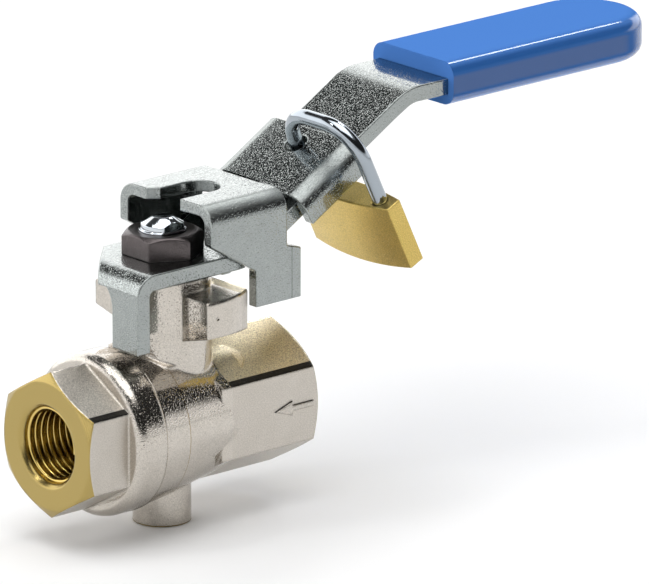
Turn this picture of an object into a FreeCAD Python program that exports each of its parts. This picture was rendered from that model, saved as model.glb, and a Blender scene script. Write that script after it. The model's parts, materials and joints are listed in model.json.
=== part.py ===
import FreeCAD, Part
import math
import os
from FreeCAD import Placement, Rotation, Vector

os.makedirs("parts", exist_ok=True)

# Lockable, vented quarter-inch ball valve, in millimetres.
# +X runs along the pipe, +Z is up, the origin is the centre of the front port's face.

# Pipe ports
hex_flats = 22.0
hex_length = 8.6
hex_chamfer_angle = 30.0
port_thread_r = 6.6
port_thread_depth = 11.0
port_chamfer = 0.65
bore_r = 4.1

# Body casting
collar_r = 14.0
collar_length = 6.0
collar_edge = 1.2
front_ring_r = 13.85
front_ring_length = 5.8
barrel_r = 13.1
barrel_rear_r = 11.35
barrel_length = 10.8
shoulder_length = 2.2
body_length = 50.4
upper_blend_length = 7.5
upper_blend_fall = 2.6

# Joint between the tail piece and the body
spigot_r = 10.4
spigot_length = 3.0
spigot_clearance = 0.05
gasket_thick = 0.6
gasket_inner_r = 8.9

# Ball, seats and stem
stem_x = 25.6
ball_r = 7.9
ball_bore_r = 4.0
ball_gap = 0.3
cavity_r = 8.6
seat_back = 7.4
seat_front = 5.7
seat_inner_r = 4.2
seat_clearance = 0.05
ball_vent_r = 0.7
ball_vent_height = 3.6
tang_width = 3.2
tang_clearance = 0.1
tang_bottom = 5.8
stem_r = 4.0
stem_fit = 0.06
stem_flange_r = 5.3
stem_flange_bottom = 7.95
stem_flange_thick = 1.35
washer_thick = 0.6
stem_flat = 2.9
stem_end_r = 3.65
stem_end_stand = 2.35
stem_end_chamfer_wide = 1.9
stem_end_chamfer_tall = 1.2
stem_thread_stand = 0.25
oring_wire_r = 0.55
oring_heights = (14.2, 17.8)
bush_wall = 1.1
bush_length = 3.0

# Neck, stop lugs and vent boss
neck_r = 8.15
neck_top = 25.4
wedge_corner = 20.1
wedge_nose = 1.2
wedge_half = 7.4
wedge_top = 15.1
wedge_fall = 0.527
wedge_bottom = 4.0
lug_r = 14.6
lug_front = 2.5
lug_back = 8.2
lug_top = 23.3
far_lug_drop = 2.0
lug_root = 15.4
lug_under_slope = 0.26
lug_edge = 0.5
vent_offset = 0.4
vent_boss_r = 4.95
vent_boss_bottom = 17.9
vent_thread_r = 2.5
vent_thread_depth = 5.5
vent_passage_r = 1.2

# Lever, bent from flat bar
lever_thick = 2.8
hub_top = 28.65
hub_half = 9.4
tab_face = 12.0
tab_bottom = 15.3
tab_gap = 0.3
tab_shoulder_z = 21.8
tab_shoulder_r = 5.4
hub_cut = 8.6
bend_r = 2.4
incline_start = 36.2
incline_angle = 30.0
level_top = 50.0
level_half = 8.75
narrow_half = 8.4
narrow_from = 23.0
narrow_to = 26.4
lever_end_wall = 1.5

# Grip sleeve
sleeve_mouth = 81.7
sleeve_end = 130.8
sleeve_half = 10.2
sleeve_over = 2.9
sleeve_under = 1.9
sleeve_edge = 2.5

# Handle nut
nut_flats = 12.2
nut_height = 4.0
nut_chamfer_r = 5.8

# Latch, folded from sheet
sheet = 2.0
latch_half = 11.75
latch_bend_r = 3.4
latch_front = 26.3
latch_back = 43.0
latch_top = 38.5
flange_front_z = 31.8
shoulder_z = 25.8
leg_front = 36.1
leg_back = 46.1
leg_bottom = 19.45
web_top = 28.1
web_width = 5.6
web_bend_r = 0.3
slot_half = 3.6
slot_end = 37.2
slot_chamfer = 2.0
slot_chamfer_wide = 1.4
saddle_low = 12.3
saddle_high = 27.0
saddle_flange = 5.85
slide_gap = 0.1
link_half = 4.7
latch_travel = 3.6

# Padlock
wire_r = 1.3
shackle_u = 23.05
leg_spacing = 17.4
lock_tilt = 4.5
pivot_depth = 0.4
bow_start = 2.4
bow_bend_r = 6.5
latch_hole_r = 2.05
lever_slot_r = 1.5
lever_slot_margin = 0.3
lock_half = 12.1
lock_top = 5.8
lock_side = 12.5
lock_sag = 0.5
lock_mid_thick = 5.2
lock_edge_thick = 3.0
toe_depth = 5.0
heel_depth = 10.0
lock_fit = 0.06
plug_r = 1.7
plug_length = 7.5
plug_fit = 0.05
bolt_r = 0.6
bolt_depth = 2.3
bolt_grip = 0.35
bolt_length = 2.6
bolt_travel = 2.4
bolt_spring_length = 1.2
spring_end_gap = 0.15
shackle_play = 1.15
pin_r = 0.4
pin_length = 1.7
pin_spring_length = 1.4
pin_pitch = 1.6
pin_count = 3
spring_wire_r = 0.11
spring_turns = 3

# Sizes that follow from the ones above
hex_vertex_r = hex_flats / math.sqrt(3.0)
collar_back = hex_length + collar_length
front_ring_back = collar_back + front_ring_length
barrel_back = front_ring_back + barrel_length
seat_face_in = stem_x - seat_back
seat_face_out = stem_x + seat_back
stem_flange_top = stem_flange_bottom + stem_flange_thick
ledge_z = stem_flange_top + washer_thick + 0.05
hub_bottom = hub_top - lever_thick
slope = math.tan(math.radians(incline_angle))
incline_end = incline_start + (level_top - hub_top) / slope
lock_centre = leg_spacing / 2.0
stem_thread_top = hub_top + nut_height + stem_thread_stand
stem_top = hub_top + nut_height + stem_end_stand
sleeve_top = level_top + sleeve_over
sleeve_bottom = level_top - lever_thick - sleeve_under
bolt_tip = -wire_r + bolt_grip
bolt_way = bolt_length + bolt_travel + bolt_spring_length

# The incline's own directions: along it, across it and away from its top face
along = Vector(math.cos(math.radians(incline_angle)), 0, math.sin(math.radians(incline_angle)))
away = Vector(-along.z, 0, along.x)
incline_origin = Vector(incline_start, 0, hub_top)
incline_frame = Placement(incline_origin, Rotation(Vector(0, 1, 0), -incline_angle))

# The padlock hangs a little nearer to upright than square to the incline
lock_turn = Rotation(Vector(0, 1, 0), lock_tilt - incline_angle)
pivot = incline_origin + along * shackle_u - away * pivot_depth
lock_frame = Placement(pivot - lock_turn.multVec(Vector(shackle_u, 0, -pivot_depth)), lock_turn)


def cylinder(radius, start, direction, length):
    """A round bar from start along a direction."""
    return Part.makeCylinder(radius, length, Vector(*start), Vector(*direction))


def on_the_incline(shape):
    """Puts a shape drawn in the incline's own frame where the incline is."""
    placed = shape.copy()
    placed.transformShape(incline_frame.toMatrix())
    return placed


def on_the_lock(shape):
    """Puts a shape drawn in the padlock's own frame where the padlock hangs."""
    placed = shape.copy()
    placed.transformShape(lock_frame.toMatrix())
    return placed


def box(low, high):
    """A box between two corners."""
    size = [b - a for a, b in zip(low, high)]
    return Part.makeBox(size[0], size[1], size[2], Vector(*low))


def rounded_face(points, radii):
    """A face in the XZ plane whose corners are rounded by the given radii."""
    count = len(points)
    corners = [Vector(x, 0, z) for x, z in points]
    edges = []
    ends = []
    for index in range(count):
        corner = corners[index]
        before = (corners[index - 1] - corner).normalize()
        after = (corners[(index + 1) % count] - corner).normalize()
        radius = radii[index]
        if radius <= 0:
            ends.append((corner, None, corner))
            continue
        half = before.getAngle(after) / 2.0
        reach = radius / math.tan(half)
        middle_way = (before + after).normalize()
        middle = corner + middle_way * (radius / math.sin(half) - radius)
        ends.append((corner + before * reach, middle, corner + after * reach))
    for index in range(count):
        first, middle, last = ends[index]
        if middle is not None:
            edges.append(Part.Arc(first, middle, last).toShape())
        following = ends[(index + 1) % count][0]
        if (following - last).Length > 1e-6:
            edges.append(Part.LineSegment(last, following).toShape())
    return Part.Face(Part.Wire(edges))


def slab(points, radii, half):
    """A rounded XZ outline extruded evenly to both sides of the pipe's plane."""
    face = rounded_face(points, radii)
    face.translate(Vector(0, -half, 0))
    return face.extrude(Vector(0, 2 * half, 0))


def plan(points, low, high):
    """An XY outline extruded from one height to another."""
    wire = Part.makePolygon([Vector(x, y, low) for x, y in points + points[:1]])
    return Part.Face(wire).extrude(Vector(0, 0, high - low))


def turned(points, centre, axis):
    """A solid of revolution from (along, radius) points, about an axis through centre."""
    along_axis = Vector(*axis)
    side = Vector(0, 1, 0)
    path = [Vector(*centre) + along_axis * a + side * r for a, r in points]
    face = Part.Face(Part.makePolygon(path + path[:1]))
    return face.revolve(Vector(*centre), along_axis, 360)


def hex_prism(flats, length, start_angle):
    """A hexagonal prism along +Z with a corner at start_angle."""
    radius = flats / math.sqrt(3.0)
    points = []
    for index in range(6):
        angle = math.radians(start_angle + 60 * index)
        points.append((radius * math.cos(angle), radius * math.sin(angle)))
    return plan(points, 0, length)


def pipe_hex(start, end, chamfer_start, chamfer_end):
    """The hexagon of a pipe port, along +X, chamfered at either end."""
    length = end - start
    prism = hex_prism(hex_flats, length, 0)
    prism.Placement = Placement(Vector(start, 0, 0), Rotation(Vector(0, 1, 0), 90))
    flat_r = hex_flats / 2.0
    rise = (hex_vertex_r + 0.2 - flat_r) * math.tan(math.radians(hex_chamfer_angle))
    full_r = hex_vertex_r + 0.2
    first_r = flat_r if chamfer_start else full_r
    last_r = flat_r if chamfer_end else full_r
    outline = [(0, 0), (0, first_r), (rise, full_r), (length - rise, full_r), (length, last_r), (length, 0)]
    return prism.common(turned(outline, (start, 0, 0), (1, 0, 0)))


def port_bore(face_x, direction):
    """The plain bore of a threaded port with its entry chamfer."""
    entry_r = port_thread_r + port_chamfer
    outline = [(-0.1, 0), (-0.1, entry_r + 0.1), (port_chamfer, port_thread_r)]
    outline += [(port_thread_depth, port_thread_r), (port_thread_depth + 1.4, bore_r),
                (port_thread_depth + 1.4, 0)]
    return turned(outline, (face_x, 0, 0), (direction, 0, 0))


def make_tail_piece():
    """Front port: hexagon, collar and the spigot that screws into the body."""
    shape = pipe_hex(0, hex_length + 0.1, True, False)
    edge = collar_edge
    outline = [(hex_length, 0), (hex_length, collar_r - edge),
               (hex_length + 0.3 * edge, collar_r - 0.5 * edge)]
    outline += [(hex_length + 0.75 * edge, collar_r - 0.17 * edge), (hex_length + 1.4 * edge, collar_r)]
    outline += [(collar_back, collar_r), (collar_back, spigot_r)]
    spigot_end = collar_back + spigot_length
    outline += [(spigot_end, spigot_r), (spigot_end, gasket_inner_r - 0.1),
                (seat_face_in, gasket_inner_r - 0.1)]
    outline += [(seat_face_in, 0)]
    shape = shape.fuse(turned(outline, (0, 0, 0), (1, 0, 0)))
    shape = shape.cut(port_bore(0, 1))
    return shape.cut(cylinder(bore_r, (0, 0, 0), (1, 0, 0), seat_face_in + 1))


def make_wedge():
    """The wedge in front of the neck, where it runs down onto the barrel."""
    points = [(collar_back, -wedge_nose), (wedge_corner, -wedge_half), (stem_x, -wedge_half)]
    points += [(stem_x, wedge_half), (wedge_corner, wedge_half), (collar_back, wedge_nose)]
    side_z = wedge_top - wedge_fall * wedge_half
    roof = [(-wedge_half, wedge_bottom), (-wedge_half, side_z), (0, wedge_top), (wedge_half, side_z)]
    roof += [(wedge_half, wedge_bottom)]
    wire = Part.makePolygon([Vector(collar_back, y, z) for y, z in roof + roof[:1]])
    ridge = Part.Face(wire).extrude(Vector(stem_x - collar_back, 0, 0))
    return plan(points, wedge_bottom, wedge_top).common(ridge)


def make_lugs():
    """The two stop lugs that stand out from the neck."""
    outer = lug_r + 2.0
    outer_z = lug_root + (outer - neck_r) * lug_under_slope
    inner_z = lug_root - neck_r * lug_under_slope
    points = [(-outer, outer_z), (0, inner_z), (outer, outer_z), (outer, lug_top), (-outer, lug_top)]
    wire = Part.makePolygon([Vector(0, y, z) for y, z in points + points[:1]])
    bar = Part.Face(wire).extrude(Vector(lug_front + lug_back, 0, 0))
    bar.translate(Vector(stem_x - lug_front, 0, 0))
    shape = bar.common(cylinder(lug_r, (stem_x, 0, 0), (0, 0, 1), lug_top + 1))
    shape = shape.cut(box((0, 0, lug_top - far_lug_drop), (body_length, outer, lug_top + 1)))
    top_edges = [edge for edge in shape.Edges
                 if edge.BoundBox.ZLength < 0.01 and edge.BoundBox.ZMin > lug_root
                 and (edge.BoundBox.YMax < -neck_r / 2.0 or edge.BoundBox.YMin > neck_r / 2.0)]
    return shape.makeFillet(lug_edge, top_edges)


def make_valve_body():
    """The casting: barrel, rear port, neck, stop lugs and vent boss."""
    outline = [(collar_back, 0), (collar_back, front_ring_r), (front_ring_back, barrel_r)]
    outline += [(barrel_back, barrel_rear_r), (barrel_back + shoulder_length, hex_flats / 2.0)]
    outline += [(barrel_back + shoulder_length, 0)]
    shape = turned(outline, (0, 0, 0), (1, 0, 0))
    shape = shape.fuse(pipe_hex(barrel_back - 2.0, body_length, False, True))
    blend_end = barrel_back + upper_blend_length
    blend = turned([(barrel_back - 1, 0), (barrel_back - 1, barrel_rear_r),
                    (blend_end - upper_blend_fall, barrel_rear_r),
                    (blend_end, hex_flats / 2.0 - 0.1), (blend_end, 0)], (0, 0, 0), (1, 0, 0))
    upper = box((0, -collar_r, hex_vertex_r / 2.0 + 0.3), (body_length, collar_r, collar_r + 1))
    shape = shape.fuse(blend.common(upper))
    shape = shape.fuse(make_wedge())
    shape = shape.fuse(cylinder(neck_r, (stem_x, 0, 0), (0, 0, 1), neck_top))
    shape = shape.fuse(make_lugs())
    vent_x = stem_x - vent_offset
    shape = shape.fuse(cylinder(vent_boss_r, (vent_x, 0, -vent_boss_bottom), (0, 0, 1), vent_boss_bottom))
    socket_r = spigot_r + spigot_clearance
    shape = shape.cut(cylinder(socket_r, (collar_back - 1, 0, 0), (1, 0, 0), seat_face_in - collar_back + 1))
    shape = shape.cut(cylinder(cavity_r, (seat_face_in - 1, 0, 0), (1, 0, 0), 2 * seat_back + 1))
    shape = shape.cut(port_bore(body_length, -1))
    shape = shape.cut(cylinder(bore_r, (seat_face_out - 1, 0, 0), (1, 0, 0), body_length - seat_face_out))
    shape = shape.cut(cylinder(stem_r + stem_fit, (stem_x, 0, 0), (0, 0, 1), neck_top + 1))
    shape = shape.cut(cylinder(stem_flange_r + 0.3, (stem_x, 0, 0), (0, 0, 1), ledge_z))
    bush_r = stem_r + stem_fit + bush_wall
    shape = shape.cut(cylinder(bush_r, (stem_x, 0, neck_top - bush_length), (0, 0, 1), bush_length + 1))
    shape = shape.cut(cylinder(vent_thread_r, (vent_x, 0, -vent_boss_bottom - 1), (0, 0, 1),
                               vent_thread_depth + 1))
    return shape.cut(cylinder(vent_passage_r, (vent_x, 0, -vent_boss_bottom), (0, 0, 1), vent_boss_bottom))


def make_body_gasket():
    """Ring squeezed between the spigot's end and the body's step."""
    start = collar_back + spigot_length
    outline = [(start, gasket_inner_r), (start, spigot_r),
               (seat_face_in, spigot_r), (seat_face_in, gasket_inner_r)]
    return turned(outline, (0, 0, 0), (1, 0, 0))


def make_seat(direction):
    """Soft seat ring with its spherical face towards the ball."""
    outer = cavity_r - seat_clearance
    outline = [(seat_front, seat_inner_r), (seat_front, outer), (seat_back, outer), (seat_back, seat_inner_r)]
    shape = turned(outline, (stem_x, 0, 0), (direction, 0, 0))
    return shape.cut(Part.makeSphere(ball_r + ball_gap, Vector(stem_x, 0, 0)))


def make_ball():
    """Ball with its flow bore, the stem's slot and the vent drilling."""
    shape = Part.makeSphere(ball_r, Vector(stem_x, 0, 0))
    shape = shape.cut(cylinder(ball_bore_r, (stem_x - ball_r - 1, 0, 0), (1, 0, 0), 2 * ball_r + 2))
    half = tang_width / 2.0 + tang_clearance
    slot = box((stem_x - half, -ball_r, tang_bottom - tang_clearance), (stem_x + half, ball_r, ball_r + 1))
    shape = shape.cut(slot)
    side = math.sqrt(ball_r ** 2 - ball_vent_height ** 2)
    entry = Vector(stem_x, side, -ball_vent_height)
    leave = Vector(stem_x, 1.0, -ball_r)
    direction = (leave - entry).normalize()
    drill = Part.makeCylinder(ball_vent_r, (leave - entry).Length + 2, entry - direction, direction)
    return shape.cut(drill)


def flats_cut(bottom, top, flat):
    """Two blocks that cut a round bar down to parallel flats facing across the pipe."""
    reach = stem_r + 2
    near = box((stem_x - reach, -reach, bottom), (stem_x + reach, -flat, top))
    far = box((stem_x - reach, flat, bottom), (stem_x + reach, reach, top))
    return near.fuse(far)


def make_stem():
    """Blow-out proof stem: tang, flange, ring grooves, flats and threaded end."""
    outline = [(stem_flange_bottom, 0), (stem_flange_bottom, stem_flange_r), (stem_flange_top, stem_flange_r)]
    outline += [(stem_flange_top, stem_r), (stem_thread_top, stem_r), (stem_thread_top, stem_end_r)]
    outline += [(stem_top - stem_end_chamfer_tall, stem_end_r),
                (stem_top, stem_end_r - stem_end_chamfer_wide)]
    outline += [(stem_top, 0)]
    shape = turned(outline, (stem_x, 0, 0), (0, 0, 1))
    half = tang_width / 2.0
    reach = math.sqrt(ball_r ** 2 - tang_bottom ** 2) - 0.3
    tang = box((stem_x - half, -reach, tang_bottom), (stem_x + half, reach, stem_flange_bottom + 0.2))
    shape = shape.fuse(tang)
    for height in oring_heights:
        groove = oring_wire_r + 0.1
        bottom_r = stem_r - 2 * oring_wire_r
        ring = [(height - groove, bottom_r), (height - groove, stem_r + 1)]
        ring += [(height + groove, stem_r + 1), (height + groove, bottom_r)]
        shape = shape.cut(turned(ring, (stem_x, 0, 0), (0, 0, 1)))
    return shape.cut(flats_cut(hub_bottom, stem_top + 1, stem_flat))


def make_stem_orings():
    """Two rubber rings in the stem's grooves."""
    rings = []
    for height in oring_heights:
        ring = Part.makeTorus(stem_r - oring_wire_r, oring_wire_r - 0.01)
        ring.translate(Vector(stem_x, 0, height))
        rings.append(ring)
    return Part.Compound(rings)


def make_thrust_washer():
    """Low-friction washer between the stem's flange and the body."""
    start = stem_flange_top + 0.05
    outline = [(start, stem_r + 0.15), (start, stem_flange_r),
               (ledge_z, stem_flange_r), (ledge_z, stem_r + 0.15)]
    return turned(outline, (stem_x, 0, 0), (0, 0, 1))


def make_upper_bush():
    """Plain bearing bush pressed into the top of the neck."""
    inner = stem_r + stem_fit
    start = neck_top - bush_length
    outline = [(start, inner), (start, inner + bush_wall), (neck_top, inner + bush_wall), (neck_top, inner)]
    return turned(outline, (stem_x, 0, 0), (0, 0, 1))


def lever_bar():
    """The bent flat bar: stop tab, hub, incline and level handle."""
    shift = lever_thick * math.tan(math.radians(incline_angle / 2.0))
    end = sleeve_end - lever_end_wall
    top = [(tab_face, tab_bottom), (tab_face, hub_top), (incline_start, hub_top), (incline_end, level_top)]
    top += [(end, level_top)]
    under = [(end, level_top - lever_thick), (incline_end + shift, level_top - lever_thick)]
    under += [(incline_start + shift, hub_bottom), (tab_face + lever_thick, hub_bottom)]
    under += [(tab_face + lever_thick, tab_bottom)]
    outer = bend_r + lever_thick
    radii = [0, outer - 1.4, bend_r * 2, outer * 2, 0, 0, bend_r * 2, outer * 2, bend_r - 1.4, 0]
    return slab(top + under, radii, level_half + 2)


def lever_outline():
    """The lever's width seen from above, as one tall prism."""
    end = sleeve_end - lever_end_wall
    start_x = incline_start + narrow_from * along.x
    stop_x = incline_start + narrow_to * along.x
    cut_y = hub_half - hub_cut
    near = [(tab_face - 1, -hub_half), (start_x, -hub_half), (stop_x, -narrow_half)]
    near += [(incline_end - 3, -narrow_half), (incline_end + 4, -level_half), (end - level_half, -level_half)]
    far = [(x, -y) for x, y in reversed(near[1:])]
    far += [(tab_face + hub_cut, hub_half), (tab_face, cut_y), (tab_face - 1, cut_y)]
    body = plan(near + far, tab_bottom - 1, level_top + 1)
    round_end = cylinder(level_half, (end - level_half, 0, tab_bottom - 1), (0, 0, 1), level_top)
    return body.fuse(round_end)


def tab_relief():
    """What is cut away beside the stop tab, with its curved shoulder."""
    inner = -(lug_front + tab_gap)
    centre_y = inner + tab_shoulder_r
    top_z = tab_shoulder_z + tab_shoulder_r
    block = box((tab_face - 1, inner, tab_bottom - 1), (tab_face + lever_thick + 0.5, hub_half + 2, top_z))
    core = cylinder(tab_shoulder_r, (tab_face - 2, centre_y, tab_shoulder_z), (1, 0, 0), lever_thick + 4)
    upper = box((tab_face - 2, inner, tab_shoulder_z), (tab_face + lever_thick + 1, centre_y, top_z + 1))
    keep = upper.cut(core)
    return block.cut(keep)


def make_lever():
    """Lever with its stop tab, stem hole and padlock slot."""
    shape = lever_bar().common(lever_outline())
    beside = tab_relief().common(box((0, -20, 0), (stem_x, 20, hub_bottom - 0.4)))
    shape = shape.cut(beside)
    hole = cylinder(stem_r + stem_fit, (stem_x, 0, hub_bottom - 1), (0, 0, 1), lever_thick + 2)
    shape = shape.cut(hole.cut(flats_cut(hub_bottom - 2, hub_top + 2, stem_flat + stem_fit)))
    low_u = shackle_u - lever_slot_margin
    high_u = shackle_u + latch_travel + lever_slot_margin
    slot = Part.makeCylinder(lever_slot_r, lever_thick + 2, Vector(low_u, 0, -lever_thick - 1))
    far_end = Part.makeCylinder(lever_slot_r, lever_thick + 2, Vector(high_u, 0, -lever_thick - 1))
    bridge = box((low_u, -lever_slot_r, -lever_thick - 1), (high_u, lever_slot_r, 1))
    slot = slot.fuse(far_end).fuse(bridge)
    return shape.cut(on_the_incline(slot))


def make_grip_sleeve():
    """Dipped plastic sleeve with a round end, over the level bar."""
    straight_end = sleeve_end - sleeve_half
    block = box((sleeve_mouth, -sleeve_half, sleeve_bottom), (straight_end, sleeve_half, sleeve_top))
    cap = cylinder(sleeve_half, (straight_end, 0, sleeve_bottom), (0, 0, 1), sleeve_top - sleeve_bottom)
    shape = block.fuse(cap).removeSplitter()
    long_edges = [edge for edge in shape.Edges if abs(edge.BoundBox.ZLength) < 0.01
                  and edge.BoundBox.XMax > sleeve_mouth + 0.1]
    shape = shape.makeFillet(sleeve_edge, long_edges)
    return shape.cut(lever_bar().common(lever_outline()))


def make_handle_nut():
    """Thin hexagon nut that holds the lever on the stem."""
    prism = hex_prism(nut_flats, nut_height, 30)
    corner_r = nut_flats / math.sqrt(3.0)
    rise = (corner_r + 0.2 - nut_chamfer_r) * math.tan(math.radians(hex_chamfer_angle))
    outline = [(0, 0), (0, corner_r + 0.2), (nut_height - rise, corner_r + 0.2), (nut_height, nut_chamfer_r)]
    outline += [(nut_height, 0)]
    shape = prism.common(turned(outline, (0, 0, 0), (0, 0, 1)))
    shape = shape.cut(cylinder(stem_r + 0.02, (0, 0, -1), (0, 0, 1), nut_height + 2))
    shape.translate(Vector(stem_x, 0, hub_top))
    return shape


def folded_channel(low, high, top, bottom):
    """A channel of sheet, open below, running along +X."""
    def profile(half, upper, radius):
        points = [(-half, bottom), (-half, upper), (half, upper), (half, bottom)]
        face = rounded_face(points, [0, radius, radius, 0])
        face.rotate(Vector(0, 0, 0), Vector(0, 0, 1), 90)
        face.translate(Vector(low, 0, 0))
        return face.extrude(Vector(high - low, 0, 0))
    inner = profile(latch_half - sheet, top - sheet, latch_bend_r - sheet)
    outer = profile(latch_half, top, latch_bend_r)
    return outer.cut(inner)


def make_latch_front():
    """The part over the stem: slotted top, side flanges and the two legs."""
    channel = folded_channel(latch_front, leg_back, latch_top, leg_bottom)
    outline = [(latch_front, flange_front_z), (leg_front, shoulder_z), (leg_front, leg_bottom)]
    outline += [(leg_back, leg_bottom), (leg_back, web_top),
                (latch_back, web_top + 0.9), (latch_back, latch_top + 1)]
    outline += [(latch_front, latch_top + 1)]
    shape = channel.common(slab(outline, [0.5, 0.5, 0, 0, 0, 0.4, 0, 0], latch_half + 1))
    for side in (-1, 1):
        inner = side * (latch_half - web_width)
        outer = side * (latch_half - sheet)
        low = (leg_back - sheet, min(inner, outer), leg_bottom)
        high = (leg_back, max(inner, outer), web_top)
        shape = shape.fuse(box(low, high))
    corner_r = web_bend_r
    for side in (-1, 1):
        y = side * (latch_half - corner_r)
        corner = box((leg_back - corner_r, min(y, side * latch_half), leg_bottom - 1),
                     (leg_back, max(y, side * latch_half), web_top + 1))
        round_bar = cylinder(corner_r, (leg_back - corner_r, y, leg_bottom - 2),
                             (0, 0, 1), web_top - leg_bottom + 4)
        shape = shape.cut(corner.cut(round_bar))
    slot_centre = slot_end - slot_half
    low_z = latch_top - sheet - 1
    high_z = latch_top + 1
    slot = cylinder(slot_half, (slot_centre, 0, low_z), (0, 0, 1), sheet + 2)
    slot = slot.fuse(box((latch_front - 1, -slot_half, low_z), (slot_centre, slot_half, high_z)))
    wide = slot_half + slot_chamfer_wide
    mouth = [(latch_front - 1, 0), (latch_front + slot_chamfer, 0), (latch_front + slot_chamfer, slot_half)]
    mouth += [(latch_front, wide), (latch_front - 1, wide)]
    return shape.cut(slot.fuse(plan(mouth, low_z, high_z)))


def make_latch_saddle():
    """The part that lies on the lever's incline, with a short flange down each side."""
    channel = folded_channel(saddle_low, saddle_high, sheet, -(saddle_flange - sheet))
    under = box((saddle_low - 1, -latch_half + sheet, -0.5), (saddle_high + 1, latch_half - sheet, slide_gap))
    shape = channel.cut(under)
    end_cut = saddle_flange - sheet
    for side in (-1, 1):
        y = side * (latch_half - sheet / 2.0)
        notch = box((saddle_high - 0.9, y - sheet, -end_cut - 1),
                    (saddle_high + 1, y + sheet, -end_cut + 0.9))
        round_bar = Part.makeCylinder(0.9, 2 * sheet + 2,
                                      Vector(saddle_high - 0.9, y - sheet - 1, -end_cut + 0.9),
                                      Vector(0, 1, 0))
        shape = shape.cut(notch.cut(round_bar))
    hole = Part.makeCylinder(latch_hole_r, sheet + 2, Vector(shackle_u, 0, -1))
    shape = shape.cut(hole)
    return on_the_incline(shape)


def make_latch_link():
    """The narrow strip that joins the slotted top to the part on the incline."""
    def on_top(x):
        return hub_top + (x - incline_start) * slope + sheet / along.x
    turn_x = incline_start + (saddle_low + 0.5) * along.x - sheet * along.z
    reach_x = turn_x + 3.0
    top = [(latch_back - 1.0, latch_top), (latch_back, latch_top),
           (turn_x, on_top(turn_x)), (reach_x, on_top(reach_x))]
    drop = (sheet - slide_gap) / along.x
    under = [(reach_x, on_top(reach_x) - drop), (turn_x + 0.1, on_top(turn_x + 0.1) - drop)]
    under += [(latch_back - 0.6, latch_top - sheet), (latch_back - 1.0, latch_top - sheet)]
    return slab(top + under, [0, 0.8, 1.0, 0, 0, 0, 0, 0], link_half)


def make_latch():
    """Sliding latch that blocks the stop lugs while it is down."""
    shape = make_latch_front().fuse(make_latch_saddle()).fuse(make_latch_link())
    return shape.removeSplitter()


def make_shackle():
    """Padlock shackle: one leg through the padlock hole, one beside the lever."""
    toe_end = -(lock_top + toe_depth)
    heel_end = -(lock_top + heel_depth)
    bow_top = bow_start + bow_bend_r
    half_bend = bow_bend_r * (1 - math.sqrt(0.5))
    start = Vector(shackle_u, 0, toe_end)
    toe_bend = [Vector(shackle_u, 0, bow_start), Vector(shackle_u, -half_bend, bow_top - half_bend),
                Vector(shackle_u, -bow_bend_r, bow_top)]
    heel_bend = [Vector(shackle_u, -leg_spacing - point.y, point.z) for point in reversed(toe_bend)]
    finish = Vector(shackle_u, -leg_spacing, heel_end)
    spine = [Part.LineSegment(start, toe_bend[0]).toShape(), Part.Arc(*toe_bend).toShape()]
    spine += [Part.LineSegment(toe_bend[-1], heel_bend[0]).toShape(), Part.Arc(*heel_bend).toShape()]
    spine.append(Part.LineSegment(heel_bend[-1], finish).toShape())
    circle = Part.Wire([Part.makeCircle(wire_r, start, Vector(0, 0, 1))])
    shape = Part.Wire(spine).makePipeShell([circle], True, False)
    bolt_z = -(lock_top + bolt_depth)
    notch = box((shackle_u - wire_r - 1, -wire_r - 1, bolt_z - bolt_r - shackle_play),
                (shackle_u + wire_r + 1, -wire_r + bolt_grip + lock_fit,
                 bolt_z + bolt_r + shackle_play / 4.0))
    shape = shape.cut(notch)
    return on_the_lock(shape)


def lens_outline(width_half, middle, edge):
    """The padlock's cross-section: thick in the middle and thin at both sides."""
    centre_u = shackle_u
    left = -lock_centre - width_half
    right = -lock_centre + width_half
    front_a = Vector(centre_u - edge / 2.0, left, 0)
    front_b = Vector(centre_u - middle / 2.0, -lock_centre, 0)
    front_c = Vector(centre_u - edge / 2.0, right, 0)
    back_a = Vector(centre_u + edge / 2.0, right, 0)
    back_b = Vector(centre_u + middle / 2.0, -lock_centre, 0)
    back_c = Vector(centre_u + edge / 2.0, left, 0)
    edges = [Part.Arc(front_a, front_b, front_c).toShape(), Part.LineSegment(front_c, back_a).toShape()]
    edges += [Part.Arc(back_a, back_b, back_c).toShape(), Part.LineSegment(back_c, front_a).toShape()]
    return Part.Face(Part.Wire(edges))


def lock_bottom_z():
    """Height of the padlock's lowest point under the incline's top face."""
    return -(lock_top + lock_side + lock_sag)


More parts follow.
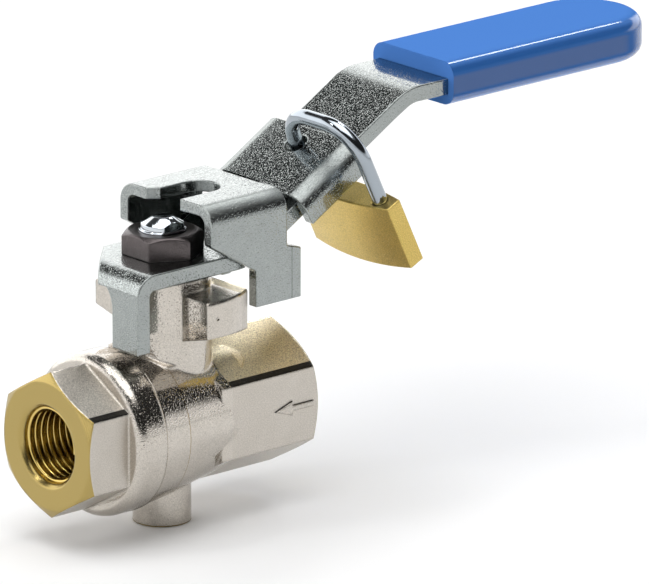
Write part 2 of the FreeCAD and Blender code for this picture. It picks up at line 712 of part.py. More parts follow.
def make_padlock_body():
    """Brass padlock body with its shackle holes, plug bore and pin chambers."""
    lowest = lock_bottom_z()
    lens = lens_outline(lock_half, lock_mid_thick, lock_edge_thick)
    lens.translate(Vector(0, 0, lowest))
    shape = lens.extrude(Vector(0, 0, -lock_top - lowest))
    side_z = -(lock_top + lock_side)
    left = Vector(shackle_u - 10, -lock_centre - lock_half, side_z)
    right = Vector(shackle_u - 10, -lock_centre + lock_half, side_z)
    middle = Vector(shackle_u - 10, -lock_centre, lowest)
    drop = Vector(0, 0, -6)
    edges = [Part.Arc(left, middle, right).toShape(), Part.LineSegment(right, right + drop).toShape()]
    edges += [Part.LineSegment(right + drop, left + drop).toShape(),
              Part.LineSegment(left + drop, left).toShape()]
    under = Part.Face(Part.Wire(edges)).extrude(Vector(20, 0, 0))
    shape = shape.cut(under)
    hole_r = wire_r + lock_fit
    toe_bottom = -(lock_top + toe_depth + 0.4)
    heel_bottom = -(lock_top + heel_depth + 0.4)
    shape = shape.cut(Part.makeCylinder(hole_r, 10, Vector(shackle_u, 0, toe_bottom)))
    shape = shape.cut(Part.makeCylinder(hole_r, 20, Vector(shackle_u, -leg_spacing, heel_bottom)))
    plug_top = lowest + plug_length
    shape = shape.cut(Part.makeCylinder(plug_r + plug_fit, plug_length + 3,
                                        Vector(shackle_u, -lock_centre, lowest - 3)))
    bolt_z = -(lock_top + bolt_depth)
    shape = shape.cut(Part.makeCylinder(bolt_r + lock_fit, bolt_way, Vector(shackle_u, bolt_tip, bolt_z),
                                        Vector(0, -1, 0)))
    for index in range(pin_count):
        z = plug_top - 1.4 - index * pin_pitch
        start = Vector(shackle_u, -lock_centre, z)
        length = plug_r + plug_fit + pin_length + pin_spring_length
        shape = shape.cut(Part.makeCylinder(pin_r + 0.05, length, start, Vector(0, 1, 0)))
    return on_the_lock(shape)


def make_key_cylinder():
    """Plug that the key turns, with its keyway."""
    lowest = lock_bottom_z()
    shape = Part.makeCylinder(plug_r, plug_length - 0.15, Vector(shackle_u, -lock_centre, lowest + 0.1))
    keyway = box((shackle_u - 1.1, -lock_centre - 0.25, lowest),
                 (shackle_u + 1.1, -lock_centre + 0.25, lowest + 6))
    shape = shape.cut(keyway)
    return on_the_lock(shape)


def make_lock_bolt():
    """Small bolt that holds the shackle's notched leg."""
    bolt_z = -(lock_top + bolt_depth)
    shape = Part.makeCylinder(bolt_r, bolt_length, Vector(shackle_u, bolt_tip, bolt_z), Vector(0, -1, 0))
    return on_the_lock(shape)


def coil(radius, length, turns):
    """A small compression spring along +Z."""
    helix = Part.makeHelix(length / turns, length, radius)
    circle = Part.Wire([Part.makeCircle(spring_wire_r, Vector(radius, 0, 0), Vector(0, 1, 0))])
    return helix.makePipeShell([circle], True, True)


def make_bolt_spring():
    """Spring that pushes the bolt into the notch."""
    bolt_z = -(lock_top + bolt_depth)
    reach = bolt_spring_length - 2 * spring_end_gap - 2 * spring_wire_r
    shape = coil(bolt_r - 0.2, reach, spring_turns)
    shape.rotate(Vector(0, 0, 0), Vector(1, 0, 0), -90)
    shape.translate(Vector(shackle_u, bolt_tip - bolt_way + spring_end_gap + spring_wire_r, bolt_z))
    return on_the_lock(shape)


def pin_places():
    """Where each pin chamber leaves the plug's bore."""
    plug_top = lock_bottom_z() + plug_length
    return [Vector(shackle_u, -lock_centre + plug_r + plug_fit, plug_top - 1.4 - index * pin_pitch)
            for index in range(pin_count)]


def make_tumbler_pins():
    """Driver pins beside the plug."""
    pins = [Part.makeCylinder(pin_r, pin_length, place + Vector(0, 0.02, 0), Vector(0, 1, 0))
            for place in pin_places()]
    shape = Part.Compound(pins)
    return on_the_lock(shape)


def make_pin_springs():
    """One small spring behind each driver pin."""
    springs = []
    for place in pin_places():
        spring = coil(pin_r - 0.12, pin_spring_length - 2 * spring_end_gap - 2 * spring_wire_r, spring_turns)
        spring.rotate(Vector(0, 0, 0), Vector(1, 0, 0), -90)
        spring.translate(place + Vector(0, pin_length + spring_end_gap + spring_wire_r, 0))
        springs.append(spring)
    shape = Part.Compound(springs)
    return on_the_lock(shape)


makers = {
    "valve_body": make_valve_body,
    "tail_piece": make_tail_piece,
    "body_gasket": make_body_gasket,
    "seat_inlet": lambda: make_seat(-1),
    "seat_outlet": lambda: make_seat(1),
    "ball": make_ball,
    "stem": make_stem,
    "stem_orings": make_stem_orings,
    "thrust_washer": make_thrust_washer,
    "upper_bush": make_upper_bush,
    "lever": make_lever,
    "grip_sleeve": make_grip_sleeve,
    "handle_nut": make_handle_nut,
    "latch": make_latch,
    "shackle": make_shackle,
    "padlock_body": make_padlock_body,
    "key_cylinder": make_key_cylinder,
    "lock_bolt": make_lock_bolt,
    "bolt_spring": make_bolt_spring,
    "tumbler_pins": make_tumbler_pins,
    "pin_springs": make_pin_springs,
}

for name, make in makers.items():
    shape = make()
    shape.exportStep(os.path.join("parts", name + ".step"))
    print(name, len(shape.Solids), round(shape.Volume, 1), shape.isValid())
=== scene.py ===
# %% [markdown]
# # A lockable, vented ball valve
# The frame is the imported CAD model: every solid is already in its place, in metres.
# This file adds the surfaces, the threads and the small details that the CAD leaves out.

# %% The frame
import json
import math

import bpy
import bmesh
from mathutils import Matrix, Vector


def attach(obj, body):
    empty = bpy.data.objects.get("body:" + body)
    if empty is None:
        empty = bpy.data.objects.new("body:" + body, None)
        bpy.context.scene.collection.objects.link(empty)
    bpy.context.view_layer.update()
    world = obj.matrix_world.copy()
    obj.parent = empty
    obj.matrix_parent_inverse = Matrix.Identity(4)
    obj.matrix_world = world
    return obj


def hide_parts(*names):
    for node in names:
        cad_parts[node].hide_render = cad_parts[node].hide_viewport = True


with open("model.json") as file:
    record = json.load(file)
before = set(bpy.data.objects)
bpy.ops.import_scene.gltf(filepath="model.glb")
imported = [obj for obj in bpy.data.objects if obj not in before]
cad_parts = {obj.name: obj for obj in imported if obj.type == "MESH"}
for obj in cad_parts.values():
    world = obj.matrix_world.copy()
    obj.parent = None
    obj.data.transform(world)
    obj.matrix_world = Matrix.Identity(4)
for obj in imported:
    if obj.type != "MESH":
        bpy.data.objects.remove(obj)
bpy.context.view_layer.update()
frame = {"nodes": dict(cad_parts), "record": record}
nodes = frame["nodes"]
bodies = frame["record"]["behaviour"]["bodies"]
body_of = {node: body for body, members in bodies.items() for node in members}
MM = 0.001
print("CAD nodes:", len(nodes))

# %% [markdown]
# ## The camera
# The photograph was taken from far away with a long lens, so its lines are nearly parallel. The camera
# looks down by about 17 degrees, from the front port's side. Its numbers come from fitting the
# hexagon, the collar, the nut and the grip to their places in the photograph.

# %% Camera
AZIMUTH = math.radians(-41.486)
ELEVATION = math.radians(16.801)
DISTANCE = 2025.15
LENS = 673.75
TARGET = Vector((25.0, 0.0, 30.0))
PAN = (-27.441, 7.872)

back = Vector((math.sin(AZIMUTH) * math.cos(ELEVATION), -math.cos(AZIMUTH) * math.cos(ELEVATION),
               math.sin(ELEVATION)))
right = Vector((math.cos(AZIMUTH), math.sin(AZIMUTH), 0.0))
up = back.cross(right)
place = TARGET + back * DISTANCE - right * PAN[0] - up * PAN[1]

camera_data = bpy.data.cameras.new("camera")
camera_data.lens = LENS
camera_data.sensor_width = 36.0
camera_data.clip_start = 0.1
camera_data.clip_end = 50.0
camera = bpy.data.objects.new("camera", camera_data)
camera.matrix_world = Matrix.Translation(place * MM) @ Matrix((right, up, back)).transposed().to_4x4()
bpy.context.scene.collection.objects.link(camera)
bpy.context.scene.camera = camera
bpy.context.scene.view_settings.view_transform = "Standard"
print("camera at", [round(v) for v in place], "mm")

# %% [markdown]
# ## Small helpers for nodes
# Every finish is a node tree. These helpers keep the trees short: they add a node with its settings
# and links, do a step of arithmetic, and make a colour ramp.

# %% Node helpers
def fill(tree, socket, value):
    """Links the socket where value is a socket too, and otherwise gives it the value."""
    if isinstance(value, bpy.types.NodeSocket):
        tree.links.new(value, socket)
    else:
        socket.default_value = value


def add_node(tree, kind, settings=None, **inputs):
    """Adds a node. An input is named with underscores for spaces, or by its number, as i0 or i1."""
    node = tree.nodes.new(kind)
    for name, value in (settings or {}).items():
        setattr(node, name, value)
    for name, value in inputs.items():
        numbered = name[0] == "i" and name[1:].isdigit()
        fill(tree, node.inputs[int(name[1:]) if numbered else name.replace("_", " ")], value)
    return node


def maths(tree, operation, a, b=0.0, c=0.0):
    """One arithmetic step on two or three numbers or sockets."""
    return add_node(tree, "ShaderNodeMath", {"operation": operation}, i0=a, i1=b, i2=c).outputs[0]


def times(tree, a, b):
    """The product, which is 1 only where two masks both are 1."""
    return maths(tree, "MULTIPLY", a, b)


def scaled(tree, value, by, plus):
    """The value times one number, with another one added."""
    return maths(tree, "MULTIPLY_ADD", value, by, plus)


def ramp(tree, source, stops):
    """A colour ramp over source with (position, brightness or colour) stops."""
    node = add_node(tree, "ShaderNodeValToRGB", i0=source)
    band = node.color_ramp
    while len(band.elements) < len(stops):
        band.elements.new(0.5)
    for element, (position, value) in zip(band.elements, stops):
        element.position = position
        element.color = value if isinstance(value, tuple) else (value, value, value, 1.0)
    return node.outputs["Color"]


# %% [markdown]
# ## The studio
# Plated metal shows its surroundings more than its own colour, so the studio is made first. In the
# photograph the level tops mirror a bright band low behind the valve, the lever's incline mirrors a
# dark area higher up, and upright sides mirror the white floor. The world does the same: a bright
# band above the horizon, which reaches higher behind the valve than in front of it, then darkness,
# then a soft light overhead. It is brighter behind the valve than in front, so that the near sides
# stay darker than the tops. The floor is matt and nearly white, and keeps the valve's shadow.

# %% World and floor
SKY_LEAN = -0.3
SKY_BANDS = [(0.0, 1.0), (0.33, 1.0), (0.43, 0.03), (0.86, 0.03), (0.95, 0.45)]
SKY_STRENGTH = 1.5
SKY_GAIN_BEHIND = 0.7
FLOOR_Z = -18.0
FLOOR_HALF = 6000.0
FLOOR_WHITE = (0.9473, 0.9473, 0.9473, 1.0)

world = bpy.data.worlds.new("studio")
world.use_nodes = True
sky = world.node_tree
toward = add_node(sky, "ShaderNodeTexCoord").outputs["Generated"]
axes = add_node(sky, "ShaderNodeSeparateXYZ", Vector=toward).outputs
height = scaled(sky, axes["Y"], SKY_LEAN, axes["Z"])
background = sky.nodes["Background"].inputs
fill(sky, background["Color"], ramp(sky, height, SKY_BANDS))
fill(sky, background["Strength"], scaled(sky, axes["Y"], SKY_GAIN_BEHIND, SKY_STRENGTH))
bpy.context.scene.world = world

floor_mesh = bpy.data.meshes.new("floor")
corners = [(-FLOOR_HALF, -FLOOR_HALF), (FLOOR_HALF, -FLOOR_HALF), (FLOOR_HALF, FLOOR_HALF),
           (-FLOOR_HALF, FLOOR_HALF)]
floor_mesh.from_pydata([(x * MM, y * MM, FLOOR_Z * MM) for x, y in corners], [], [(0, 1, 2, 3)])
floor = bpy.data.objects.new("floor", floor_mesh)
bpy.context.scene.collection.objects.link(floor)
floor_paint = bpy.data.materials.new("matte_white_floor")
floor_paint.use_nodes = True
floor_shader = floor_paint.node_tree.nodes["Principled BSDF"]
floor_shader.inputs["Base Color"].default_value = FLOOR_WHITE
floor_shader.inputs["Roughness"].default_value = 0.95
floor_shader.inputs["Specular IOR Level"].default_value = 0.0
floor_mesh.materials.append(floor_paint)
print("floor at", FLOOR_Z, "mm, sky bands:", len(SKY_BANDS))

# %% [markdown]
# ## The lamps
# A large lamp overhead gives the soft shadow. A small one behind draws the bright edges of the
# castings. A third one stands where the grip's near upper edge mirrors it to the camera, as the
# white line that the photograph shows there.

# %% Lamps
def lamp(name, place, aim, size, watts):
    """A square soft lamp at place, facing aim, in millimetres."""
    data = bpy.data.lights.new(name, "AREA")
    data.size = size * MM
    data.energy = watts
    light = bpy.data.objects.new(name, data)
    direction = (Vector(aim) - Vector(place)).normalized()
    turn = direction.to_track_quat("-Z", "Y").to_matrix().to_4x4()
    light.matrix_world = Matrix.Translation(Vector(place) * MM) @ turn
    bpy.context.scene.collection.objects.link(light)
    print(name, size, "mm wide,", watts, "W")


lamp("lamp_overhead", (-100, -200, 1400), (30, 0, 0), 1500, 16.0)
lamp("lamp_edge", (-530, 220, 710), (10, 0, 0), 120, 0.5)
lamp("lamp_line", (1051, 412, 1142), (100, 0, 50), 260, 3.0)

# %% [markdown]
# ## Finishes
# All patterns are measured in real millimetres from each object's own coordinates. The cast and the
# plated surfaces share one trick: a fine grain in the bump, which sparkles where a surface mirrors
# the border between the bright and the dark part of the studio, and stays calm elsewhere, just as in
# the photograph. Edges are rounded in the shading too, where the geometry itself stays sharp.

# %% Finish helpers
def new_paint(name, colour, metallic, roughness):
    """A material with its tree, its main shader and its coordinates in millimetres."""
    paint = bpy.data.materials.new(name)
    paint.use_nodes = True
    tree = paint.node_tree
    shader = tree.nodes["Principled BSDF"]
    shader.inputs["Base Color"].default_value = colour
    shader.inputs["Metallic"].default_value = metallic
    shader.inputs["Roughness"].default_value = roughness
    objects = add_node(tree, "ShaderNodeTexCoord").outputs["Object"]
    where = add_node(tree, "ShaderNodeVectorMath", {"operation": "SCALE"}, Vector=objects, Scale=1000.0)
    print("finish", name)
    return paint, tree, shader, where.outputs["Vector"]


def noise(tree, where, cell, detail=2.0):
    """Noise whose blots are about cell millimetres wide."""
    return add_node(tree, "ShaderNodeTexNoise", Vector=where, Scale=1.0 / cell, Detail=detail).outputs["Fac"]


def bumped(tree, shader, height, depth, edge):
    """Bump of depth millimetres over edges rounded by edge millimetres."""
    soft = add_node(tree, "ShaderNodeBevel", {"samples": 6}, Radius=edge * MM).outputs["Normal"]
    bump = add_node(tree, "ShaderNodeBump", Height=height, Distance=depth * MM, Normal=soft)
    fill(tree, shader.inputs["Normal"], bump.outputs["Normal"])


def roughened(tree, shader, pattern, swing, least):
    """Roughness that follows a pattern, from least up to least and swing together."""
    fill(tree, shader.inputs["Roughness"], scaled(tree, pattern, swing, least))


# %% [markdown]
# ### Patterns and masks
# Each pattern is a number or a colour at every point of a surface. A mask is 1 inside an area and 0
# outside it, so that one finish can have areas that differ.

# %% Patterns and masks
GRAIN_CELL = 0.24
GRAIN_LEVEL = 0.56
SPECK_CELL = 0.2
SPECK_GAIN = 4.0


def mixed(tree, share, first, second):
    """First colour where share is 0, and second where it is 1."""
    node = add_node(tree, "ShaderNodeMix", {"data_type": "RGBA"}, Factor=share)
    fill(tree, node.inputs[6], first)
    fill(tree, node.inputs[7], second)
    return node.outputs[2]


def sparkle(tree, where):
    """Flat between scattered small grains, as a sandblasted and plated surface is."""
    grain = noise(tree, where, GRAIN_CELL, 0.0)
    return maths(tree, "MAXIMUM", maths(tree, "SUBTRACT", grain, GRAIN_LEVEL), 0.0)


def speckled(tree, where, colour, share):
    """The colour with fine darker and lighter grains in it."""
    fine = noise(tree, where, SPECK_CELL, 1.0)
    swing = times(tree, maths(tree, "SUBTRACT", fine, 0.5), SPECK_GAIN)
    level = scaled(tree, swing, share, 1.0)
    shaded = add_node(tree, "ShaderNodeVectorMath", {"operation": "SCALE"}, Vector=colour, Scale=level)
    return shaded.outputs["Vector"]


def near(tree, value, centre, half):
    """1 where value lies within half of centre, and 0 elsewhere."""
    return maths(tree, "COMPARE", value, centre, half)


def facing(tree, axis):
    """How far the surface faces along one of the piece's own axes, from -1 to 1."""
    own = add_node(tree, "ShaderNodeTexCoord").outputs["Normal"]
    return add_node(tree, "ShaderNodeSeparateXYZ", Vector=own).outputs[axis]


def sideways(tree):
    """How far the surface faces the piece's near or far side: 0 on a level top, 1 on a side."""
    return maths(tree, "ABSOLUTE", facing(tree, "Y"))


# %% [markdown]
# ### Nickel plated casting with bare brass ends
# The body is one casting, plated all over and then machined at its ends. So one material carries
# both metals: brass on each end face, on the corner chamfer that the cutter left on the hexagon and
# inside the bores, and nickel elsewhere. The border follows the cutter's cone.

# %% Bare and plated areas
CONE_SLOPE = 0.5774
FACED_DEPTH = 0.07
VENT_FACED_Z = -17.75
RING_PITCH = 0.32
DENT_R = 0.4
DENT_GAIN = -8.0


def bare_brass(tree, radius, z, from_end, cone_r, bore_r):
    """1 on the end face, the corner chamfer, the bore and the vent's end, and 0 elsewhere."""
    cone = maths(tree, "MAXIMUM", times(tree, maths(tree, "SUBTRACT", radius, cone_r), CONE_SLOPE), 0.0)
    faced = maths(tree, "LESS_THAN", from_end, maths(tree, "ADD", cone, FACED_DEPTH))
    bored = maths(tree, "LESS_THAN", radius, bore_r)
    vented = maths(tree, "LESS_THAN", z, VENT_FACED_Z)
    return maths(tree, "MAXIMUM", maths(tree, "MAXIMUM", faced, bored), vented)


def casting_height(tree, where, radius, bare, dent):
    """Cast grain on the plating, turned rings on the bare metal, and a punched dent if given."""
    rings = maths(tree, "SINE", times(tree, radius, 2.0 * math.pi / RING_PITCH))
    turned = scaled(tree, rings, 0.03, times(tree, noise(tree, where, 0.5), 0.1))
    height = add_node(tree, "ShaderNodeMix", Factor=bare, A=sparkle(tree, where), B=turned).outputs[0]
    if dent:
        away = add_node(tree, "ShaderNodeVectorMath", {"operation": "DISTANCE"}, i0=where, i1=dent)
        pit = maths(tree, "MAXIMUM", maths(tree, "SUBTRACT", DENT_R, away.outputs["Value"]), 0.0)
        height = scaled(tree, pit, DENT_GAIN, height)
    return height


# %% [markdown]
# The hexagons are duller than the cast barrel. Their upper flats are grainy and end in a painted
# dark reflection, a dark line along the lower edge, and on the rear one the upper flats carry a
# painted gold-white highlight. A thin seam runs round the barrel of each casting.

# %% Casting
BRASS = (0.40, 0.303, 0.108, 1.0)
NICKEL = (0.54, 0.49, 0.435, 1.0)
NICKEL_RANGE = (0.50, 0.463, 0.413, 1.0), (0.575, 0.537, 0.485, 1.0)
# The next colour is a painted gold-white highlight for the rear hexagon's upper flats.
PAINTED_GOLD_HIGHLIGHT = (0.90, 0.79, 0.56, 1.0)
# The next colour is a painted dark reflection for the lower edge of each upper flat.
PAINTED_DARK_REFLECTION = (0.03, 0.028, 0.025, 1.0)
SEAM_DARK = (0.30, 0.22, 0.10, 1.0)
DARK_REFLECTION_TOP_Z = 7.0
EDGE_R = 0.7


def casting(name, end_x, inward, cone_r, bore_r, hex_depth, seam_x, seam_r, painted_highlight=0.0, dent=None):
    """Plated casting whose end face at end_x, chamfer cone and bore are bare metal."""
    paint, tree, shader, where = new_paint(name, NICKEL, 1.0, 0.24)
    x, y, z = add_node(tree, "ShaderNodeSeparateXYZ", Vector=where).outputs
    squares = maths(tree, "ADD", maths(tree, "POWER", y, 2.0), maths(tree, "POWER", z, 2.0))
    radius = maths(tree, "SQRT", squares)
    from_end = times(tree, maths(tree, "SUBTRACT", x, end_x), inward)
    bare = bare_brass(tree, radius, z, from_end, cone_r, bore_r)
    cloud = noise(tree, where, 3.0)

    milled = maths(tree, "LESS_THAN", from_end, hex_depth)
    upper = times(tree, milled, maths(tree, "GREATER_THAN", facing(tree, "Z"), 0.6))
    # The upper flats take the painted gold-white highlight, as far as the call's share of it goes.
    plate = mixed(tree, times(tree, upper, painted_highlight), mixed(tree, cloud, *NICKEL_RANGE), PAINTED_GOLD_HIGHLIGHT)
    plate = speckled(tree, where, plate, scaled(tree, upper, 0.24, 0.2))
    # Painted dark reflection: a dark line along the lower edge of each upper flat.
    rim = times(tree, upper, maths(tree, "LESS_THAN", z, DARK_REFLECTION_TOP_Z))
    colour = mixed(tree, bare, mixed(tree, rim, plate, PAINTED_DARK_REFLECTION), BRASS)
    seam = times(tree, near(tree, x, seam_x, 0.09), near(tree, radius, seam_r, 0.15))
    fill(tree, shader.inputs["Base Color"], mixed(tree, times(tree, seam, 0.75), colour, SEAM_DARK))

    rounded = add_node(tree, "ShaderNodeBevel", Radius=EDGE_R * MM).outputs["Normal"]
    plain = add_node(tree, "ShaderNodeNewGeometry").outputs["Normal"]
    bent = add_node(tree, "ShaderNodeVectorMath", {"operation": "DOT_PRODUCT"}, i0=rounded, i1=plain)
    flat = times(tree, milled, maths(tree, "GREATER_THAN", bent.outputs["Value"], 0.99))
    dull = scaled(tree, cloud, 0.06, scaled(tree, flat, 0.24, 0.08))
    rough = add_node(tree, "ShaderNodeMix", Factor=bare, A=dull, B=0.25)
    fill(tree, shader.inputs["Roughness"], rough.outputs[0])
    bumped(tree, shader, casting_height(tree, where, radius, bare, dent), 0.085, EDGE_R)
    return paint


nickel_front = casting("nickel_plated_brass_front", end_x=0.0, inward=1.0, cone_r=11.0, bore_r=7.6,
                       hex_depth=8.6, seam_x=14.6, seam_r=13.85)
# The rear casting's upper flats take a painted gold-white highlight.
nickel_rear = casting("nickel_plated_brass_rear", end_x=50.4, inward=-1.0, cone_r=11.0, bore_r=7.0,
                      hex_depth=19.0, seam_x=20.4, seam_r=13.1, painted_highlight=0.8, dent=(25.1, -14.6, 20.4))

# %% [markdown]
# ### Zinc plated sheet and bar
# Bright zinc plate is a pale neutral grey with a fine spangle, which is stronger on top than on the
# near and far sides, and it is duller round the bends. The latch's near leg has a thin upright seam
# where the sheet's end lies flush with it, so the latch's own finish draws it.

# %% Zinc
ZINC = (0.32, 0.355, 0.33, 1.0)
ZINC_RANGE = (0.295, 0.318, 0.31, 1.0), (0.355, 0.378, 0.37, 1.0)
SEAM_X, SEAM_HALF = 44.0, 0.07
SEAM_FRONT_Y, SEAM_TOP_Z = -8.0, 32.5


def zinc_plate(name, seam=False):
    """Bright zinc plate, with the latch's upright seam if asked."""
    paint, tree, shader, where = new_paint(name, ZINC, 1.0, 0.24)
    cloud = noise(tree, where, 2.5)
    side = sideways(tree)
    colour = speckled(tree, where, mixed(tree, cloud, *ZINC_RANGE), scaled(tree, side, -0.28, 0.42))
    if seam:
        x, y, z = add_node(tree, "ShaderNodeSeparateXYZ", Vector=where).outputs
        line = times(tree, near(tree, x, SEAM_X, SEAM_HALF), maths(tree, "LESS_THAN", y, SEAM_FRONT_Y))
        line = times(tree, line, maths(tree, "LESS_THAN", z, SEAM_TOP_Z))
        colour = mixed(tree, times(tree, line, 0.7), colour, (0.05, 0.06, 0.06, 1.0))
    fill(tree, shader.inputs["Base Color"], colour)
    bend = times(tree, side, maths(tree, "SUBTRACT", 1.0, side))
    roughened(tree, shader, bend, 1.3, scaled(tree, cloud, 0.06, 0.08))
    bumped(tree, shader, sparkle(tree, where), 0.11, 0.3)
    return paint


zinc_bar = zinc_plate("zinc_plated_steel_bar")
zinc_sheet = zinc_plate("zinc_plated_steel_sheet", seam=True)

# %% [markdown]
# ### Brass
# The padlock's body is brushed: long fine scratches that run down its front and across its side,
# over a faint patina. The threads, the bush and the padlock's inner parts are turned brass.

# %% Brass finishes
PATINA_RANGE = (0.54, 0.40, 0.115, 1.0), (0.64, 0.475, 0.155, 1.0)

padlock_brass, tree, shader, where = new_paint("brushed_brass", (0.58, 0.43, 0.13, 1.0), 1.0, 0.3)
stretched = add_node(tree, "ShaderNodeMapping", {"vector_type": "POINT"}, Vector=where,
                     Scale=(4.0, 5.0, 0.35)).outputs["Vector"]
scratches = noise(tree, stretched, 1.0, 6.0)
patina = mixed(tree, noise(tree, where, 4.0), *PATINA_RANGE)
fill(tree, shader.inputs["Base Color"], speckled(tree, where, patina, 0.25))
roughened(tree, shader, scratches, 0.12, 0.24)
bumped(tree, shader, scaled(tree, sparkle(tree, where), 1.5, times(tree, scratches, 0.4)), 0.06, 0.25)

plain_brass, tree, shader, where = new_paint("turned_brass", (0.62, 0.46, 0.15, 1.0), 1.0, 0.2)
bumped(tree, shader, noise(tree, where, 0.3), 0.01, 0.1)
roughened(tree, shader, noise(tree, where, 0.6), 0.15, 0.12)

# %% [markdown]
# ### Steel
# The ball, the stem and the shackle are mirror bright, the shackle a little darker. The nut has a
# dark phosphate coat.

# %% Steel finishes
def polished(name, colour, roughness, least):
    """Mirror bright metal with a faint waviness."""
    paint, tree, shader, where = new_paint(name, colour, 1.0, roughness)
    bumped(tree, shader, noise(tree, where, 3.0), 0.004, 0.15)
    roughened(tree, shader, noise(tree, where, 0.8), 0.08, least)
    return paint


chrome = polished("chrome_plate", (0.62, 0.66, 0.70, 1.0), 0.07, 0.04)
shackle_steel = polished("polished_steel", (0.36, 0.40, 0.44, 1.0), 0.08, 0.05)

NUT_RANGE = (0.088, 0.076, 0.076, 1.0), (0.13, 0.115, 0.115, 1.0)
dark_nut, tree, shader, where = new_paint("phosphated_steel", (0.098, 0.083, 0.080, 1.0), 1.0, 0.3)
fill(tree, shader.inputs["Base Color"], mixed(tree, noise(tree, where, 1.5), *NUT_RANGE))
bumped(tree, shader, noise(tree, where, 0.24, 0.0), 0.045, 0.3)

# %% [markdown]
# ### The grip
# The grip is soft vinyl, dipped on. Its flats are matt, so that its top keeps its blue beside the
# bright studio, and its rounded edges are glossy. Its colour holds painted shade: the top keeps the
# lit blue, the rounded edge is painted darker and the sides are painted greyer.

# %% Vinyl
# Painted light and shade in the blues: the lit top, a darker painted shade over the rounded edge, a greyer
# painted shade on the sides.
GRIP_BLUES_PAINTED_SHADE = [(0.0, (0.074, 0.21, 0.585, 1.0)), (0.6, (0.065, 0.20, 0.56, 1.0)),
              (0.8, (0.025, 0.11, 0.36, 1.0)), (0.985, (0.025, 0.12, 0.38, 1.0)),
              (1.0, (0.075, 0.14, 0.33, 1.0))]
GRIP_GLOSS = [(0.35, 0.0), (0.5, 1.0), (0.9, 1.0), (0.97, 0.15)]

vinyl, tree, shader, where = new_paint("blue_dipped_vinyl", (0.09, 0.26, 0.70, 1.0), 0.0, 0.2)
shader.inputs["Specular IOR Level"].default_value = 0.0
shader.inputs["Coat Roughness"].default_value = 0.1
shader.inputs["Coat IOR"].default_value = 2.0
side = sideways(tree)
# The base colour carries painted shade, darker over the rounded edge and greyer on the sides.
fill(tree, shader.inputs["Base Color"], ramp(tree, side, GRIP_BLUES_PAINTED_SHADE))
fill(tree, shader.inputs["Coat Weight"], ramp(tree, side, GRIP_GLOSS))
bumped(tree, shader, noise(tree, where, 1.4), 0.006, 0.3)

# %% [markdown]
# ### Each CAD piece gets its finish
# The pieces that aren't listed, such as the seats, the rings and the springs, can't be seen. They
# keep the frame's own finish.

# %% Finishes on the CAD pieces
finish_of = {"valve_body": nickel_rear, "tail_piece": nickel_front, "ball": chrome, "stem": chrome,
             "upper_bush": plain_brass, "lever": zinc_bar, "latch": zinc_sheet, "handle_nut": dark_nut,
             "grip_sleeve": vinyl, "shackle": shackle_steel, "padlock_body": padlock_brass,
             "key_cylinder": plain_brass, "lock_bolt": plain_brass, "tumbler_pins": plain_brass}
for name, paint in finish_of.items():
    mesh = nodes[name].data
    mesh.materials.clear()
    mesh.materials.append(paint)
print("finished pieces:", len(finish_of))

# %% [markdown]
# ## Rounded edges
# Pressed, sawn and forged parts have no sharp edges. For five pieces a copy of the CAD mesh gets a
# narrow bevel on every edge and then stands for the CAD node. The two castings keep the CAD mesh,
# because their rounded corners would run into each other; their edges are softened in the material.

# %% Rounded copies
WELD = 0.002
FLAT_ANGLE = math.radians(1.0)
EDGE_ANGLE = math.radians(30)
SMOOTH_ANGLE = math.radians(14)


def dressed(node, edge_radius, paint):
    """A copy of a CAD node whose edges are rounded, which then stands for the node."""
    mesh = nodes[node].data.copy()
    shape = bmesh.new()
    shape.from_mesh(mesh)
    bmesh.ops.remove_doubles(shape, verts=shape.verts, dist=WELD * MM)
    bmesh.ops.dissolve_limit(shape, angle_limit=FLAT_ANGLE, verts=shape.verts, edges=shape.edges)
    shape.to_mesh(mesh)
    shape.free()
    mesh.materials.clear()
    mesh.materials.append(paint)
    piece = bpy.data.objects.new(node + "_rounded", mesh)
    bpy.context.scene.collection.objects.link(piece)
    bevel = piece.modifiers.new("edges", "BEVEL")
    bevel.width = edge_radius * MM
    bevel.segments = 2
    bevel.limit_method = "ANGLE"
    bevel.angle_limit = EDGE_ANGLE
    bevel.use_clamp_overlap = False
    bevel.miter_outer = "MITER_ARC"
    bpy.context.view_layer.update()
    final = bpy.data.meshes.new_from_object(piece.evaluated_get(bpy.context.evaluated_depsgraph_get()))
    piece.modifiers.clear()
    piece.data = final
    final.shade_smooth()
    final.set_sharp_from_angle(angle=SMOOTH_ANGLE)
    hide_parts(node)
    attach(piece, body_of[node])
    print(node, "rounded:", len(final.polygons), "faces")


dressed("lever", 0.2, zinc_bar)
dressed("latch", 0.2, zinc_sheet)
dressed("padlock_body", 0.2, padlock_brass)
dressed("handle_nut", 0.2, dark_nut)
dressed("stem", 0.12, chrome)

# %% [markdown]
# ## Threads
# The CAD bores are plain, at the threads' outer diameter, so that their size can be tested. The
# ridges come from one node group: a spiral with a three-sided profile swept along it. Its turns,
# pitch, radius and depth are named inputs, so one group makes the threads of both ports and of the
# vent.

# %% Thread group
PROFILE_HALF = 0.577


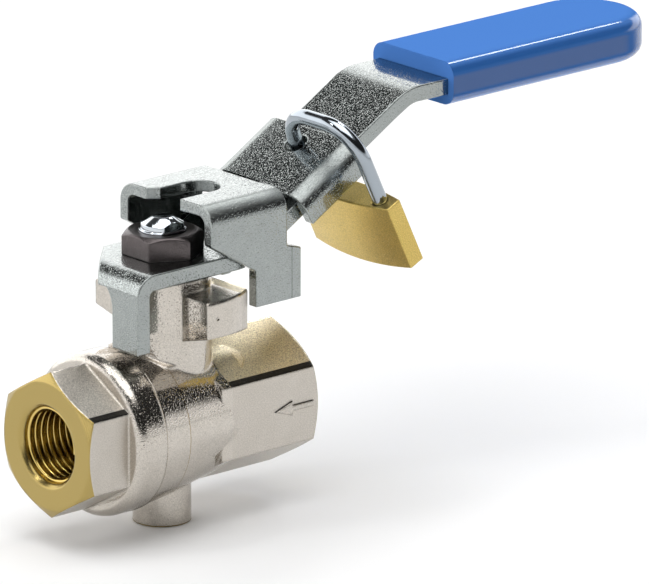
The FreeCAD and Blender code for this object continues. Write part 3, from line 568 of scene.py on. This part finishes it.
def thread_group():
    """Node group that sweeps a three-sided ridge along a spiral, with its named inputs."""
    group = bpy.data.node_groups.new("thread_ridge", "GeometryNodeTree")
    wanted = [("Turns", "NodeSocketFloat"), ("Pitch", "NodeSocketFloat"), ("Radius", "NodeSocketFloat"),
              ("Depth", "NodeSocketFloat"), ("Finish", "NodeSocketMaterial")]
    names = {}
    for name, kind in wanted:
        names[name] = group.interface.new_socket(name, in_out="INPUT", socket_type=kind).identifier
    group.interface.new_socket("Geometry", in_out="OUTPUT", socket_type="NodeSocketGeometry")
    given = group.nodes.new("NodeGroupInput").outputs
    length = times(group, given["Turns"], given["Pitch"])
    spiral = add_node(group, "GeometryNodeCurveSpiral", Resolution=96, Rotations=given["Turns"],
                      Start_Radius=given["Radius"], End_Radius=given["Radius"], Height=length)
    level = add_node(group, "GeometryNodeSetCurveNormal", {"mode": "Z_UP"}, Curve=spiral.outputs["Curve"])
    triangle = add_node(group, "GeometryNodeCurvePrimitiveCircle", Resolution=3, Radius=1.0)
    half = times(group, given["Pitch"], PROFILE_HALF)
    size = add_node(group, "ShaderNodeCombineXYZ", X=given["Depth"], Y=half, Z=1.0)
    shaped = add_node(group, "GeometryNodeTransform", Geometry=triangle.outputs["Curve"],
                      Scale=size.outputs["Vector"])
    swept = add_node(group, "GeometryNodeCurveToMesh", Curve=level.outputs["Curve"],
                     Profile_Curve=shaped.outputs["Geometry"])
    real = add_node(group, "GeometryNodeRealizeInstances", Geometry=swept.outputs["Mesh"])
    painted = add_node(group, "GeometryNodeSetMaterial", Geometry=real.outputs["Geometry"],
                       Material=given["Finish"])
    group.links.new(painted.outputs["Geometry"], group.nodes.new("NodeGroupOutput").inputs["Geometry"])
    return group, names


ridges, ridge_inputs = thread_group()
print("thread inputs:", list(ridge_inputs))

# %% [markdown]
# Each thread is turned into a plain mesh and placed in its bore. The foot of a ridge lies a little
# inside the wall, so that no gap shows. The ports have 19 threads to the inch.

# %% Threads in their bores
FOOT_DEPTH = 0.05
PROFILE_HEIGHT = 1.5
PORT_PITCH = 1.337


def thread(name, start, along, turns, pitch, crest_r, wall_r):
    """A thread inside the bore that begins at start and runs along a direction, in millimetres."""
    depth = (wall_r + FOOT_DEPTH - crest_r) / PROFILE_HEIGHT
    piece = bpy.data.objects.new(name, bpy.data.meshes.new(name))
    bpy.context.scene.collection.objects.link(piece)
    live = piece.modifiers.new("ridge", "NODES")
    live.node_group = ridges
    live[ridge_inputs["Turns"]] = float(turns)
    live[ridge_inputs["Pitch"]] = pitch * MM
    live[ridge_inputs["Radius"]] = (crest_r + depth) * MM
    live[ridge_inputs["Depth"]] = depth * MM
    live[ridge_inputs["Finish"]] = plain_brass
    bpy.context.view_layer.update()
    mesh = bpy.data.meshes.new_from_object(piece.evaluated_get(bpy.context.evaluated_depsgraph_get()))
    piece.modifiers.clear()
    radii = [math.hypot(v.co.x, v.co.y) / MM for v in mesh.vertices]
    half_turn = Matrix.Rotation(math.pi, 4, "Z")
    turn = Vector(along).to_track_quat("Z", "Y").to_matrix().to_4x4() @ half_turn
    mesh.transform(Matrix.Translation(Vector(start) * MM) @ turn)
    mesh.update()
    piece.data = mesh
    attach(piece, body_of["valve_body"])
    print(name, len(mesh.polygons), "faces, radii", round(min(radii), 2), "to", round(max(radii), 2), "mm")


thread("inlet_thread", (0.95, 0, 0), (1, 0, 0), 7, PORT_PITCH, 5.75, 6.6)
thread("outlet_thread", (49.45, 0, 0), (-1, 0, 0), 7, PORT_PITCH, 5.75, 6.6)
thread("vent_thread", (25.2, 0, -17.7), (0, 0, 1), 6, 0.8, 2.05, 2.5)

# %% [markdown]
# ## The flow arrow
# A plain arrow is cast on the near flat of the rear hexagon, pointing towards the front port. It
# is a thin raised plate. Its outline is drawn as points and then extruded, and its rim is bevelled, so
# that its lower edge takes a dark line as in the photograph.

# %% Flow arrow
TIP_X, HEAD_X, TAIL_X = 40.7, 44.6, 49.3
HEAD_HALF, SHAFT_HALF, RAISED = 1.3, 0.55, 0.28
FLAT_Y = -11.0
SUNK = 0.05
RIM_BEVEL = 0.12

outline = [(TIP_X, 0.0), (HEAD_X, -HEAD_HALF), (HEAD_X, -SHAFT_HALF), (TAIL_X, -SHAFT_HALF),
           (TAIL_X, SHAFT_HALF), (HEAD_X, SHAFT_HALF), (HEAD_X, HEAD_HALF)]
shape = bmesh.new()
base = [shape.verts.new((x * MM, (FLAT_Y + SUNK) * MM, z * MM)) for x, z in outline]
face = shape.faces.new(base)
raised = bmesh.ops.extrude_face_region(shape, geom=[face])["geom"]
lifted = [v for v in raised if isinstance(v, bmesh.types.BMVert)]
bmesh.ops.translate(shape, verts=lifted, vec=(0, -(RAISED + SUNK) * MM, 0))
rim = [e for e in shape.edges if all(v in lifted for v in e.verts)]
bmesh.ops.bevel(shape, geom=rim, offset=RIM_BEVEL * MM, segments=2, affect="EDGES", profile=0.5)
bmesh.ops.recalc_face_normals(shape, faces=shape.faces)
arrow_mesh = bpy.data.meshes.new("flow_arrow")
shape.to_mesh(arrow_mesh)
shape.free()
arrow_mesh.materials.append(nickel_rear)
arrow = bpy.data.objects.new("flow_arrow", arrow_mesh)
bpy.context.scene.collection.objects.link(arrow)
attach(arrow, body_of["valve_body"])
print("arrow:", len(arrow_mesh.polygons), "faces")
